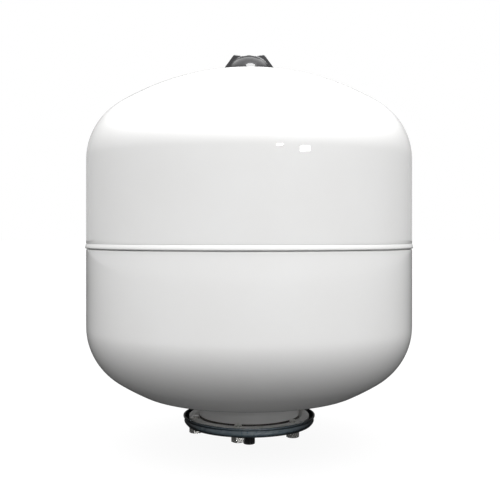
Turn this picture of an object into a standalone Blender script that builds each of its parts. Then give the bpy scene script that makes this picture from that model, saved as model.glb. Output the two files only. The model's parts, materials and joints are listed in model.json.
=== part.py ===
"""A 33 litre bladder expansion vessel: two domed shells, a bolted bottom flange and a capped gas valve.

Units are metres and +Z is up. The origin is on the vessel's axis, level with the tip of the transit plug.
Heights named ..._Z are above the origin. Profiles are (radius, height) pairs, the height counted from the
piece's own origin, and each runs down the outer side of the piece.
"""

import math

import bmesh
import bpy
from mathutils import Matrix

# Tank
TANK_RADIUS = 0.180
WALL = 0.0015
CROWN_RADIUS = 0.276
KNUCKLE_RADIUS = 0.070
UPPER_SKIRT = 0.0972
LOWER_SKIRT = 0.0841
SEAM_Z = 0.220

# Girth seam: the lower shell's edge is pressed in and slips inside the upper one
GAP = 0.0003
UPPER_EDGE = 0.0060
BEAD_BOTTOM = 0.0004
BEAD_PROUD = 0.0010
BEAD_ROUNDING = 0.0008
SHOULDER_DROP = 0.0022
LIP_HEIGHT = 0.016
LIP_RADIUS = TANK_RADIUS - WALL - GAP

# Bottom: the crown bends to a flatter floor round the collar
FLOOR_BEND_START = 0.122
FLOOR_BEND_RADIUS = 0.030
FLOOR_SLOPE = math.radians(9)

# Bottom collar, flange ring and service flange
COLLAR_RADIUS = 0.056
COLLAR_FILLET = 0.012
RING_TOP_Z = SEAM_Z - 0.1863
RING_THICKNESS = 0.004
RING_RADIUS = 0.0672
COLLAR_END_Z = RING_TOP_Z - RING_THICKNESS
RIM_RADIUS = 0.0738
RIM_WALL = 0.0018
RIM_TAPER = 0.0011
RIM_ROUNDING = 0.0006
RIM_TOP_Z = SEAM_Z - 0.1858
RIM_BOTTOM_Z = SEAM_Z - 0.1960
PLATE_TOP_Z = SEAM_Z - 0.1932
PLATE_BOTTOM_Z = SEAM_Z - 0.1950

# Flange bolts
BOLT_COUNT = 6
BOLT_CIRCLE = 0.124
FIRST_BOLT_ANGLE = math.radians(-100.8)
BOLT_RADIUS = 0.004
BOLT_ACROSS_FLATS = 0.013
BOLT_HEAD = 0.0053
BOLT_LENGTH = 0.0131
BOLT_POINT = 0.001
BOLT_HOLE_RADIUS = BOLT_RADIUS + GAP
WASHER_RADIUS = 0.0078
WASHER_THICKNESS = 0.0014

# Water nozzle, G 3/4
THREAD_RADIUS = 0.0132
NOZZLE_BORE = 0.010
NOZZLE_COLLAR = 0.016
NOZZLE_COLLAR_HEIGHT = 0.002
NOZZLE_CHAMFER = 0.001
NOZZLE_END_Z = SEAM_Z - 0.2104
STRAINER_RADIUS = 0.019
STRAINER_THICKNESS = 0.0015
STRAINER_HOLE = 0.0022
STRAINER_HOLE_CIRCLE = 0.0115
STRAINER_HOLE_COUNT = 6

# Transit plug, heights above the nozzle's end
PLUG_DEPTH = 0.006
PLUG_BODY = NOZZLE_BORE - 2 * GAP
PLUG_LIP = 0.0006
PLUG_GROOVE_DEPTH = 0.0012
PLUG_GROOVE_LOW = 0.0020
PLUG_GROOVE_HIGH = 0.0042
PLUG_GRIP = 0.0066
PLUG_ROUNDING = 0.0014

# Bladder
BLADDER_RADIUS = 0.118
BLADDER_WALL = 0.002
BLADDER_NECK = COLLAR_RADIUS - WALL - GAP
BLADDER_RIM = 0.0574
BLADDER_WAIST_Z = SEAM_Z - 0.070
BLADDER_TOP_Z = SEAM_Z + 0.040
BLADDER_NECK_TOP_Z = SEAM_Z - 0.160
BLADDER_RIM_Z = COLLAR_END_Z - GAP

# Gas valve boss; every height from here on is above the crown's top
BOSS_SHANK = 0.009
BOSS_FLANGE = 0.015
BOSS_COLLAR = 0.0105
BOSS_RECESS = 0.0068
BOSS_TOP = 0.0072
BOSS_EDGE = 0.0005
BOSS_STEP = 0.0022
BOSS_FLOOR = -0.0016
BOSS_END = -0.0136

# Valve stem and its gasket
STEM_RADIUS = 0.00385
STEM_FLANGE = 0.0058
STEM_BORE = 0.0025
STEM_TOP = 0.0080
STEM_EDGE = 0.0004
STEM_FLANGE_HIGH = 0.0006
STEM_FLANGE_LOW = -0.0002
STEM_END = -0.0176
STEM_GASKET_HIGH = -0.0005
STEM_GASKET_LOW = -0.0013

# Valve core
CORE_RADIUS = 0.0022
CORE_RECESS = 0.0016
CORE_TOP = 0.0069
CORE_STEP = 0.0006
CORE_END = -0.0096
PIN_RADIUS = 0.0006
PIN_HEAD = 0.0013
PIN_FOOT = 0.0015
PIN_TOP = 0.0067
PIN_NECK = 0.0059
PIN_ANKLE = -0.0119
PIN_END = -0.0127
SEAL_RADIUS = 0.0019
SPRING_RADIUS = 0.0012
SPRING_WIRE = 0.00015
SPRING_TURNS = 4
SPRING_STEPS = 10

# Dust cap
DUST_CAP_RADIUS = 0.0052
DUST_CAP_BORE = 0.0042
DUST_CAP_TOP = 0.0103
DUST_CAP_CEILING = 0.0093
DUST_CAP_LOW = 0.0010
DUST_CAP_EDGE = 0.0006
DUST_SEAL_HIGH = 0.0090
DUST_SEAL_LOW = 0.0083

# Guard cap
CAP_RADIUS = 0.023
CAP_WALL = 0.0015
CAP_CENTRE = -0.0011
CAP_HEIGHT = 0.0186
CAP_LOW = -0.0005
CAP_CEILING = 0.0148
CAP_BUTTON = 0.0034
CAP_BUTTON_RISE = 0.0005
SOCKET_RADIUS = 0.0126
SOCKET_LOW = 0.0026
SOCKET_TOP = 0.0136
WING_REACH = 0.0304
WING_LOW = 0.0004
WING_TOP = 0.0187
WING_DIP = 0.0006
WING_TOP_REACH = 0.0174
WING_ROOT = 0.0075
WING_CORNER = 0.0008
WING_THICKNESS = 0.0036
GASKET_INNER = 0.0175
GASKET_OUTER = 0.0207
GASKET_LOW = -0.0001
GASKET_HIGH = 0.0014

# Facets of a full turn
TANK_STEPS = 48
FLANGE_STEPS = 48
FITTING_STEPS = 24
SMALL_STEPS = 16
STRAINER_HOLE_STEPS = 8
MERGE = 1e-5
SMOOTH_ANGLE = math.radians(32)

COLOURS = {
    "tank_paint": ((0.80, 0.80, 0.79, 1.0), 0.22, 0.0),
    "flange_paint": ((0.060, 0.085, 0.105, 1.0), 0.35, 0.0),
    "zinc": ((0.72, 0.72, 0.70, 1.0), 0.30, 1.0),
    "rubber": ((0.020, 0.020, 0.022, 1.0), 0.70, 0.0),
    "black_plastic": ((0.022, 0.024, 0.026, 1.0), 0.20, 0.0),
    "brass": ((0.62, 0.46, 0.20, 1.0), 0.35, 1.0),
    "stainless": ((0.62, 0.62, 0.61, 1.0), 0.30, 1.0),
}


def clear_scene():
    for obj in list(bpy.data.objects):
        bpy.data.objects.remove(obj)


def collection(name):
    found = bpy.data.collections.new(name)
    bpy.context.scene.collection.children.link(found)
    return found


def material_for(node, kind):
    """Each piece has its own copy of its material kind, named for the piece."""
    colour, roughness, metallic = COLOURS[kind]
    material = bpy.data.materials.new(f"{node}_{kind}")
    material.use_nodes = True
    shader = material.node_tree.nodes["Principled BSDF"]
    shader.inputs["Base Color"].default_value = colour
    shader.inputs["Roughness"].default_value = roughness
    shader.inputs["Metallic"].default_value = metallic
    return material


def add_object(name, mesh, kind, height=0.0):
    obj = bpy.data.objects.new(name, mesh)
    obj.location.z = height
    obj.data.materials.append(material_for(name, kind))
    PARTS.objects.link(obj)
    return obj


def add_helper(name, mesh, height=0.0):
    obj = bpy.data.objects.new(name, mesh)
    obj.location.z = height
    obj.hide_render = True
    obj.display_type = "WIRE"
    HELPERS.objects.link(obj)
    return obj


def carry(parent, *pieces):
    """Hangs the pieces on an empty without moving them."""
    for piece in pieces:
        piece.parent = parent
        piece.location.z -= parent.location.z


def carrier(name, height):
    empty = bpy.data.objects.new(name, None)
    empty.location.z = height
    empty.empty_display_size = 0.02
    PARTS.objects.link(empty)
    return empty


def outline_mesh(name, points, closed):
    mesh = bpy.data.meshes.new(name)
    count = len(points)
    edges = [(i, i + 1) for i in range(count - 1)]
    if closed:
        edges.append((count - 1, 0))
    mesh.from_pydata([(radius, 0.0, height) for radius, height in points], edges, [])
    return mesh


def add_screw(obj, steps):
    screw = obj.modifiers.new("Turn", "SCREW")
    screw.axis = "Z"
    screw.angle = 2 * math.pi
    screw.steps = steps
    screw.render_steps = steps
    screw.use_merge_vertices = True
    screw.merge_threshold = MERGE
    screw.use_smooth_shade = True


def turned(name, profile, kind, height, steps):
    """A solid of revolution: a closed profile, or one that starts and ends on the axis."""
    closed = profile[0][0] > 0.0
    obj = add_object(name, outline_mesh(name, profile, closed), kind, height)
    add_screw(obj, steps)
    return obj


def pressed(name, profile, wall, kind, height, steps):
    """A sheet turned about the axis, its wall inside the profile."""
    obj = add_object(name, outline_mesh(name, profile, False), kind, height)
    add_screw(obj, steps)
    solidify = obj.modifiers.new("Wall", "SOLIDIFY")
    solidify.thickness = wall
    solidify.offset = -1.0
    solidify.use_even_offset = True
    return obj


def ring_profile(inner, outer, low, high):
    return [(inner, high), (outer, high), (outer, low), (inner, low)]


def arc(centre, radius, start, end, count):
    """Points on an arc in the (radius, height) plane, angles in radians from the horizontal."""
    found = []
    for i in range(count + 1):
        angle = start + (end - start) * i / count
        found.append((centre[0] + radius * math.cos(angle), centre[1] + radius * math.sin(angle)))
    return found


def bake(obj):
    """Applies the modifiers, so that the object can be cut further or share its mesh."""
    bpy.context.view_layer.update()
    graph = bpy.context.evaluated_depsgraph_get()
    made = bpy.data.meshes.new_from_object(obj.evaluated_get(graph))
    obj.modifiers.clear()
    obj.data = made
    return obj


def solid_from_curve(curve, name):
    """A helper mesh made from a filled curve, its caps welded on, in the curve's place."""
    bpy.context.view_layer.update()
    graph = bpy.context.evaluated_depsgraph_get()
    mesh = bpy.data.meshes.new_from_object(curve.evaluated_get(graph))
    work = bmesh.new()
    work.from_mesh(mesh)
    bmesh.ops.remove_doubles(work, verts=work.verts, dist=MERGE)
    bmesh.ops.recalc_face_normals(work, faces=work.faces)
    work.to_mesh(mesh)
    work.free()
    helper = add_helper(name, mesh)
    helper.matrix_world = curve.matrix_world.copy()
    bpy.data.objects.remove(curve)
    return helper


def boolean(obj, helper, operation):
    cut = obj.modifiers.new(operation.title(), "BOOLEAN")
    cut.operation = operation
    cut.solver = "EXACT"
    cut.object = helper


def shade(obj):
    obj.data.shade_smooth()
    obj.data.set_sharp_from_angle(angle=SMOOTH_ANGLE)


def cylinders_mesh(name, centres, radius, low, high, segments):
    """Upright cylinders in one mesh, one at each (x, y)."""
    work = bmesh.new()
    for x, y in centres:
        place = Matrix.Translation((x, y, (low + high) / 2))
        bmesh.ops.create_cone(
            work,
            cap_ends=True,
            segments=segments,
            radius1=radius,
            radius2=radius,
            depth=high - low,
            matrix=place,
        )
    mesh = bpy.data.meshes.new(name)
    work.to_mesh(mesh)
    work.free()
    return mesh


# ---------------------------------------------------------------------------------------------- shells


def dome_tangent():
    """Angle from the horizontal at which the knuckle meets the crown."""
    reach = TANK_RADIUS - KNUCKLE_RADIUS
    return math.acos(reach / (CROWN_RADIUS - KNUCKLE_RADIUS))


def crown_rise():
    """Height of the crown's top above the skirt's end."""
    return CROWN_RADIUS - (CROWN_RADIUS - KNUCKLE_RADIUS) * math.sin(dome_tangent())


CROWN_TOP_Z = SEAM_Z + UPPER_SKIRT + crown_rise()


def crown_angle(radius):
    return math.acos(radius / CROWN_RADIUS)


def make_upper_shell():
    hole = BOSS_SHANK + GAP
    top = SEAM_Z + UPPER_SKIRT
    centre = (0.0, crown_rise() - CROWN_RADIUS)
    profile = arc(centre, CROWN_RADIUS, crown_angle(hole), dome_tangent(), 5)
    knuckle = (TANK_RADIUS - KNUCKLE_RADIUS, 0.0)
    profile += arc(knuckle, KNUCKLE_RADIUS, dome_tangent(), 0.0, 6)[1:]
    profile.append((TANK_RADIUS, UPPER_EDGE - UPPER_SKIRT))
    return pressed("upper_shell", profile, WALL, "tank_paint", top, TANK_STEPS)


def lower_crown():
    """The crown, its bend, the flatter floor and the rounding into the collar; heights from the skirt's end."""
    centre = (0.0, CROWN_RADIUS - crown_rise())
    start = math.acos(FLOOR_BEND_START / CROWN_RADIUS)
    points = arc(centre, CROWN_RADIUS, -dome_tangent(), -start, 2)[1:]
    inward = CROWN_RADIUS - FLOOR_BEND_RADIUS
    bend = (inward * math.cos(start), centre[1] - inward * math.sin(start))
    floor_start = math.pi / 2 - FLOOR_SLOPE
    points += arc(bend, FLOOR_BEND_RADIUS, -start, -floor_start, 3)[1:]
    floor_radius = points[-1][0] / math.sin(FLOOR_SLOPE)
    floor_centre = points[-1][1] + floor_radius * math.cos(FLOOR_SLOPE)
    reach = COLLAR_RADIUS + COLLAR_FILLET
    drop = math.sqrt((floor_radius + COLLAR_FILLET) ** 2 - reach**2)
    meets = math.atan2(drop, reach)
    points += arc((0.0, floor_centre), floor_radius, -floor_start, -meets, 2)[1:]
    points += arc((reach, floor_centre - drop), COLLAR_FILLET, math.pi - meets, math.pi, 3)[1:]
    return points


def make_lower_shell():
    bottom = SEAM_Z - LOWER_SKIRT
    profile = [(LIP_RADIUS, LOWER_SKIRT + LIP_HEIGHT), (LIP_RADIUS, LOWER_SKIRT + BEAD_BOTTOM - GAP)]
    profile.append((TANK_RADIUS, LOWER_SKIRT - SHOULDER_DROP))
    knuckle = (TANK_RADIUS - KNUCKLE_RADIUS, 0.0)
    profile += arc(knuckle, KNUCKLE_RADIUS, 0.0, -dome_tangent(), 6)
    profile += lower_crown()
    profile.append((COLLAR_RADIUS, COLLAR_END_Z - bottom))
    return pressed("lower_shell", profile, WALL, "tank_paint", bottom, TANK_STEPS)


def make_girth_bead():
    outer = TANK_RADIUS + BEAD_PROUD
    inner = LIP_RADIUS + GAP
    top = UPPER_EDGE - GAP
    profile = [
        (inner, top),
        (outer - BEAD_ROUNDING, top),
        (outer, top - BEAD_ROUNDING),
        (outer, BEAD_BOTTOM + BEAD_ROUNDING),
        (outer - BEAD_ROUNDING, BEAD_BOTTOM),
        (inner, BEAD_BOTTOM),
    ]
    return turned("girth_weld_bead", profile, "tank_paint", SEAM_Z, TANK_STEPS)


# ---------------------------------------------------------------------------------------------- bottom


def bolt_angles():
    return [FIRST_BOLT_ANGLE + 2 * math.pi * i / BOLT_COUNT for i in range(BOLT_COUNT)]


def bolt_centres():
    radius = BOLT_CIRCLE / 2
    return [(radius * math.cos(a), radius * math.sin(a)) for a in bolt_angles()]


def make_bolt_holes():
    low = RIM_BOTTOM_Z - RIM_WALL
    high = RIM_TOP_Z + RIM_WALL
    mesh = cylinders_mesh("bolt_holes", bolt_centres(), BOLT_HOLE_RADIUS, low, high, SMALL_STEPS)
    return add_helper("bolt_holes", mesh)


def make_tank_flange_ring(holes):
    profile = ring_profile(COLLAR_RADIUS + GAP, RING_RADIUS, -RING_THICKNESS, 0.0)
    ring = turned("tank_flange_ring", profile, "tank_paint", RING_TOP_Z, FLANGE_STEPS)
    boolean(ring, holes, "DIFFERENCE")
    return ring


def make_service_flange(holes):
    """A plate with a turned-up rim that hides the edge of the ring, and a rolled lower lip."""
    inner = RIM_RADIUS - RIM_WALL
    foot = RIM_RADIUS - RIM_TAPER
    edge = RIM_ROUNDING
    low = RIM_BOTTOM_Z - PLATE_BOTTOM_Z
    high = RIM_TOP_Z - PLATE_BOTTOM_Z
    plate = PLATE_TOP_Z - PLATE_BOTTOM_Z
    hole = THREAD_RADIUS + GAP
    profile = [
        (hole, plate),
        (inner, plate),
        (inner, high - edge),
        (inner + edge, high),
        (RIM_RADIUS - edge, high),
        (RIM_RADIUS, high - edge),
        (foot, low + 2 * edge),
        (foot - 2 * edge, low),
        (foot - RIM_WALL, low),
        (foot - RIM_WALL - edge, 0.0),
        (hole, 0.0),
    ]
    flange = turned("service_flange", profile, "flange_paint", PLATE_BOTTOM_Z, FLANGE_STEPS)
    boolean(flange, holes, "DIFFERENCE")
    return flange


def make_bolt_mesh():
    """An M8 hex head with its shank above it; the origin is under the head's bearing face."""
    buried = -BOLT_HEAD / 2
    profile = [
        (0.0, BOLT_LENGTH),
        (BOLT_RADIUS - BOLT_POINT, BOLT_LENGTH),
        (BOLT_RADIUS, BOLT_LENGTH - BOLT_POINT),
        (BOLT_RADIUS, buried),
        (0.0, buried),
    ]
    helper = add_helper("bolt_shank", outline_mesh("bolt_shank", profile, False))
    add_screw(helper, SMALL_STEPS)
    corner = BOLT_ACROSS_FLATS / math.sqrt(3)
    head = bpy.data.objects.new("bolt_head", cylinders_mesh("head", [(0, 0)], corner, -BOLT_HEAD, 0.0, 6))
    HELPERS.objects.link(head)
    boolean(head, helper, "UNION")
    bake(head)
    mesh = head.data
    bpy.data.objects.remove(head)
    bpy.data.objects.remove(helper)
    return mesh


def make_bolts():
    mesh = make_bolt_mesh()
    bearing = PLATE_BOTTOM_Z - GAP - WASHER_THICKNESS - GAP
    washer = ring_profile(BOLT_HOLE_RADIUS, WASHER_RADIUS, -WASHER_THICKNESS, 0.0)
    for number, (x, y) in enumerate(bolt_centres(), start=1):
        bolt = add_object(f"flange_bolt_{number}", mesh.copy(), "zinc", bearing)
        bolt.location.xy = (x, y)
        bolt.rotation_euler.z = bolt_angles()[number - 1]
        disc = turned(f"flange_washer_{number}", washer, "zinc", PLATE_BOTTOM_Z - GAP, SMALL_STEPS)
        disc.location.xy = (x, y)


def make_nozzle():
    top = PLATE_TOP_Z - NOZZLE_END_Z
    collar_top = PLATE_BOTTOM_Z - GAP - NOZZLE_END_Z
    collar_low = collar_top - NOZZLE_COLLAR_HEIGHT
    profile = [
        (NOZZLE_BORE, top),
        (THREAD_RADIUS, top),
        (THREAD_RADIUS, collar_top),
        (NOZZLE_COLLAR, collar_top),
        (NOZZLE_COLLAR, collar_low),
        (THREAD_RADIUS, collar_low),
        (THREAD_RADIUS, NOZZLE_CHAMFER),
        (THREAD_RADIUS - NOZZLE_CHAMFER, 0.0),
        (NOZZLE_BORE, 0.0),
    ]
    return turned("water_nozzle", profile, "zinc", NOZZLE_END_Z, FITTING_STEPS)


def make_strainer():
    """A perforated disc over the nozzle keeps the bladder from being drawn into it."""
    base = PLATE_TOP_Z + GAP
    turns = [2 * math.pi * i / STRAINER_HOLE_COUNT for i in range(STRAINER_HOLE_COUNT)]
    centres = [(STRAINER_HOLE_CIRCLE * math.cos(a), STRAINER_HOLE_CIRCLE * math.sin(a)) for a in turns]
    centres.append((0.0, 0.0))
    past = STRAINER_THICKNESS
    mesh = cylinders_mesh("strainer_holes", centres, STRAINER_HOLE, -past, 2 * past, STRAINER_HOLE_STEPS)
    holes = add_helper("strainer_holes", mesh, base)
    disc = cylinders_mesh("nozzle_strainer", [(0, 0)], STRAINER_RADIUS, 0.0, STRAINER_THICKNESS, FITTING_STEPS)
    strainer = add_object("nozzle_strainer", disc, "stainless", base)
    boolean(strainer, holes, "DIFFERENCE")
    return strainer


def make_transit_plug():
    """A push-in stopper with a grip, and the soft ring that holds it in the nozzle's bore."""
    groove = PLUG_BODY - PLUG_GROOVE_DEPTH
    tip = -NOZZLE_END_Z
    profile = [
        (0.0, PLUG_DEPTH),
        (PLUG_BODY - PLUG_LIP, PLUG_DEPTH),
        (PLUG_BODY, PLUG_DEPTH - PLUG_LIP),
        (PLUG_BODY, PLUG_GROOVE_HIGH),
        (groove, PLUG_GROOVE_HIGH),
        (groove, PLUG_GROOVE_LOW),
        (PLUG_BODY, PLUG_GROOVE_LOW),
        (PLUG_BODY, PLUG_LIP),
        (PLUG_GRIP, 0.0),
        (PLUG_GRIP, tip + PLUG_ROUNDING),
        (PLUG_GRIP - PLUG_ROUNDING, tip),
        (0.0, tip),
    ]
    plug = turned("transit_plug", profile, "black_plastic", NOZZLE_END_Z, FITTING_STEPS)
    low = PLUG_GROOVE_LOW + GAP
    high = PLUG_GROOVE_HIGH - GAP
    seal = ring_profile(groove + GAP / 2, NOZZLE_BORE - GAP / 2, low, high)
    ring = turned("transit_plug_ring", seal, "rubber", NOZZLE_END_Z, FITTING_STEPS)
    carry(carrier("plug_carrier", NOZZLE_END_Z), plug, ring)


def bladder_radius(height):
    """Radius of the bag between its neck and its widest level."""
    share = (BLADDER_WAIST_Z - height) / (BLADDER_WAIST_Z - BLADDER_NECK_TOP_Z)
    spread = BLADDER_RADIUS - BLADDER_NECK
    return BLADDER_NECK + spread * (1 + math.cos(math.pi * share)) / 2


def make_bladder():
    """A rubber bag that holds the water, clamped by its rim between collar and service flange."""
    rise = BLADDER_TOP_Z - BLADDER_WAIST_Z
    waist = BLADDER_WAIST_Z - BLADDER_RIM_Z
    profile = []
    levels = 6
    for i in range(levels):
        angle = math.pi / 2 * (1 - i / levels)
        profile.append((BLADDER_RADIUS * math.cos(angle), waist + rise * math.sin(angle)))
    profile[0] = (0.0, waist + rise)
    for i in range(levels + 1):
        height = BLADDER_WAIST_Z + (BLADDER_NECK_TOP_Z - BLADDER_WAIST_Z) * i / levels
        profile.append((bladder_radius(height), height - BLADDER_RIM_Z))
    profile.append((BLADDER_NECK, 0.0))
    profile.append((BLADDER_RIM, 0.0))
    return pressed("bladder", profile, BLADDER_WALL, "rubber", BLADDER_RIM_Z, FITTING_STEPS)


# ------------------------------------------------------------------------------------------- gas valve


def make_boss():
    """The threaded collar that the guard cap screws on, through the crown's hole."""
    bore = STEM_RADIUS + GAP
    profile = [
        (BOSS_RECESS, BOSS_TOP),
        (BOSS_COLLAR - BOSS_EDGE, BOSS_TOP),
        (BOSS_COLLAR, BOSS_TOP - BOSS_EDGE),
        (BOSS_COLLAR, BOSS_STEP),
        (BOSS_FLANGE, BOSS_STEP),
        (BOSS_FLANGE, GAP),
        (BOSS_SHANK, GAP),
        (BOSS_SHANK, BOSS_END),
        (bore, BOSS_END),
        (bore, BOSS_FLOOR),
        (BOSS_RECESS, BOSS_FLOOR),
    ]
    return turned("valve_boss", profile, "zinc", CROWN_TOP_Z, FITTING_STEPS)


def make_stem_gasket():
    profile = ring_profile(STEM_RADIUS + GAP, STEM_FLANGE, STEM_GASKET_LOW, STEM_GASKET_HIGH)
    return turned("valve_stem_gasket", profile, "rubber", CROWN_TOP_Z, SMALL_STEPS)


def make_stem():
    profile = [
        (STEM_BORE, STEM_TOP),
        (STEM_RADIUS - STEM_EDGE, STEM_TOP),
        (STEM_RADIUS, STEM_TOP - STEM_EDGE),
        (STEM_RADIUS, STEM_FLANGE_HIGH),
        (STEM_FLANGE, STEM_FLANGE_HIGH),
        (STEM_FLANGE, STEM_FLANGE_LOW),
        (STEM_RADIUS, STEM_FLANGE_LOW),
        (STEM_RADIUS, STEM_END),
        (STEM_BORE, STEM_END),
    ]
    return turned("valve_stem", profile, "brass", CROWN_TOP_Z, SMALL_STEPS)


def make_core_body():
    """The insert screwed into the stem: the pin runs in its bore, the spring sits in its upper recess."""
    bore = PIN_RADIUS + GAP
    profile = [
        (CORE_RECESS, CORE_TOP),
        (CORE_RADIUS, CORE_TOP),
        (CORE_RADIUS, CORE_END),
        (bore, CORE_END),
        (bore, CORE_STEP),
        (CORE_RECESS, CORE_STEP),
    ]
    return turned("valve_core_body", profile, "brass", CROWN_TOP_Z, SMALL_STEPS)


def make_core_pin():
    profile = [
        (0.0, PIN_TOP),
        (PIN_HEAD, PIN_TOP),
        (PIN_HEAD, PIN_NECK),
        (PIN_RADIUS, PIN_NECK),
        (PIN_RADIUS, PIN_ANKLE),
        (PIN_FOOT, PIN_ANKLE),
        (PIN_FOOT, PIN_END),
        (0.0, PIN_END),
    ]
    return turned("valve_core_pin", profile, "brass", CROWN_TOP_Z, SMALL_STEPS)


def make_core_seal():
    profile = ring_profile(PIN_RADIUS + GAP, SEAL_RADIUS, PIN_ANKLE + GAP, CORE_END - GAP)
    return turned("valve_core_seal", profile, "rubber", CROWN_TOP_Z, SMALL_STEPS)


def make_core_spring():
    """A coil between the recess's floor and the pin's head."""
    low = CROWN_TOP_Z + CORE_STEP + GAP + SPRING_WIRE
    high = CROWN_TOP_Z + PIN_NECK - GAP - SPRING_WIRE
    count = SPRING_TURNS * SPRING_STEPS + 1
    curve = bpy.data.curves.new("valve_core_spring", "CURVE")
    curve.dimensions = "3D"
    curve.bevel_depth = SPRING_WIRE
    curve.bevel_resolution = 1
    curve.use_fill_caps = True
    spline = curve.splines.new("POLY")
    spline.points.add(count - 1)
    for i, point in enumerate(spline.points):
        angle = 2 * math.pi * i / SPRING_STEPS
        height = (high - low) * i / (count - 1)
        point.co = (SPRING_RADIUS * math.cos(angle), SPRING_RADIUS * math.sin(angle), height, 1.0)
    return add_object("valve_core_spring", curve, "stainless", low)


def make_dust_cap():
    profile = [
        (0.0, DUST_CAP_TOP),
        (DUST_CAP_RADIUS - DUST_CAP_EDGE, DUST_CAP_TOP),
        (DUST_CAP_RADIUS, DUST_CAP_TOP - DUST_CAP_EDGE),
        (DUST_CAP_RADIUS, DUST_CAP_LOW),
        (DUST_CAP_BORE, DUST_CAP_LOW),
        (DUST_CAP_BORE, DUST_CAP_CEILING),
        (0.0, DUST_CAP_CEILING),
    ]
    cap = turned("dust_cap", profile, "brass", CROWN_TOP_Z, SMALL_STEPS)
    radius = DUST_CAP_BORE - GAP
    disc = cylinders_mesh("dust_cap_seal", [(0, 0)], radius, DUST_SEAL_LOW, DUST_SEAL_HIGH, SMALL_STEPS)
    seal = add_object("dust_cap_seal", disc, "rubber", CROWN_TOP_Z)
    carry(carrier("dust_cap_carrier", CROWN_TOP_Z), cap, seal)


def wing_outline():
    """One wing in the (x, z) plane, its root buried in the dome's wall."""
    mid = CAP_WALL / 2
    radius = CAP_RADIUS - mid
    height = CAP_HEIGHT - mid
    low = math.asin((2 * WING_LOW - CAP_CENTRE) / height)
    high = math.acos(WING_ROOT / radius)
    root = []
    count = 5
    for i in range(count + 1):
        angle = low + (high - low) * i / count
        root.append((radius * math.cos(angle), CAP_CENTRE + height * math.sin(angle)))
    tip = [
        (WING_ROOT + 2 * WING_CORNER, WING_TOP - WING_DIP),
        (WING_TOP_REACH - WING_CORNER, WING_TOP),
        (WING_TOP_REACH + WING_CORNER / 2, WING_TOP - WING_CORNER),
        (WING_REACH, WING_LOW),
        (WING_REACH - CAP_WALL, CAP_LOW),
    ]
    return root + tip


def make_wings():
    """Both wings, flat plates that stand in the XZ plane, as a helper to join to the dome."""
    curve = bpy.data.curves.new("wings", "CURVE")
    curve.dimensions = "2D"
    curve.fill_mode = "BOTH"
    curve.extrude = WING_THICKNESS / 2
    for side in (1.0, -1.0):
        outline = wing_outline()
        spline = curve.splines.new("POLY")
        spline.points.add(len(outline) - 1)
        spline.use_cyclic_u = True
        for point, (x, z) in zip(spline.points, outline):
            point.co = (side * x, z, 0.0, 1.0)
    flat = bpy.data.objects.new("wings_outline", curve)
    flat.rotation_euler.x = math.pi / 2
    flat.location.z = CROWN_TOP_Z
    HELPERS.objects.link(flat)
    return solid_from_curve(flat, "wings")


def make_guard_cap():
    """A dome over the valve with two finger wings; its socket screws on the boss collar."""
    top = CAP_CENTRE + CAP_HEIGHT
    button_top = top + CAP_BUTTON_RISE
    profile = [(0.0, button_top), (CAP_BUTTON - CAP_BUTTON_RISE, button_top)]
    count = 9
    start = math.acos(CAP_BUTTON / CAP_RADIUS)
    base = math.asin((CAP_LOW - CAP_CENTRE) / CAP_HEIGHT)
    for i in range(count + 1):
        angle = start + (base - start) * i / count
        profile.append((CAP_RADIUS * math.cos(angle), CAP_CENTRE + CAP_HEIGHT * math.sin(angle)))
    inner = CAP_RADIUS - CAP_WALL
    inner_height = CAP_CEILING - CAP_CENTRE
    meets = math.acos(SOCKET_RADIUS / inner)
    count = 4
    for i in range(count + 1):
        angle = base + (meets - base) * i / count
        profile.append((inner * math.cos(angle), CAP_CENTRE + inner_height * math.sin(angle)))
    bore = BOSS_COLLAR + GAP
    profile += [(SOCKET_RADIUS, SOCKET_LOW), (bore, SOCKET_LOW), (bore, SOCKET_TOP), (0.0, SOCKET_TOP)]
    cap = turned("guard_cap", profile, "black_plastic", CROWN_TOP_Z, FITTING_STEPS)
    boolean(cap, make_wings(), "UNION")
    seat = ring_profile(GASKET_INNER, GASKET_OUTER, GASKET_LOW, GASKET_HIGH)
    gasket = turned("guard_cap_gasket", seat, "rubber", CROWN_TOP_Z, FITTING_STEPS)
    carry(carrier("guard_cap_carrier", CROWN_TOP_Z), cap, gasket)


def main():
    make_upper_shell()
    make_lower_shell()
    make_girth_bead()
    holes = make_bolt_holes()
    make_tank_flange_ring(holes)
    make_service_flange(holes)
    make_bolts()
    make_nozzle()
    make_strainer()
    make_transit_plug()
    make_bladder()
    make_boss()
    make_stem_gasket()
    make_stem()
    make_core_body()
    moving = [make_core_pin(), make_core_seal(), make_core_spring()]
    carry(carrier("valve_pin_carrier", CROWN_TOP_Z), *moving)
    make_dust_cap()
    make_guard_cap()
    for obj in PARTS.objects:
        if obj.type == "MESH" and obj.data.polygons:
            shade(obj)


clear_scene()
PARTS = collection("expansion_vessel")
HELPERS = collection("helpers")
main()
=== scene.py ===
import json
from math import acos, asin, atan2, cos, pi, radians, sin, sqrt, tan

import bmesh
import bpy
from mathutils import Matrix, Vector

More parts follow.
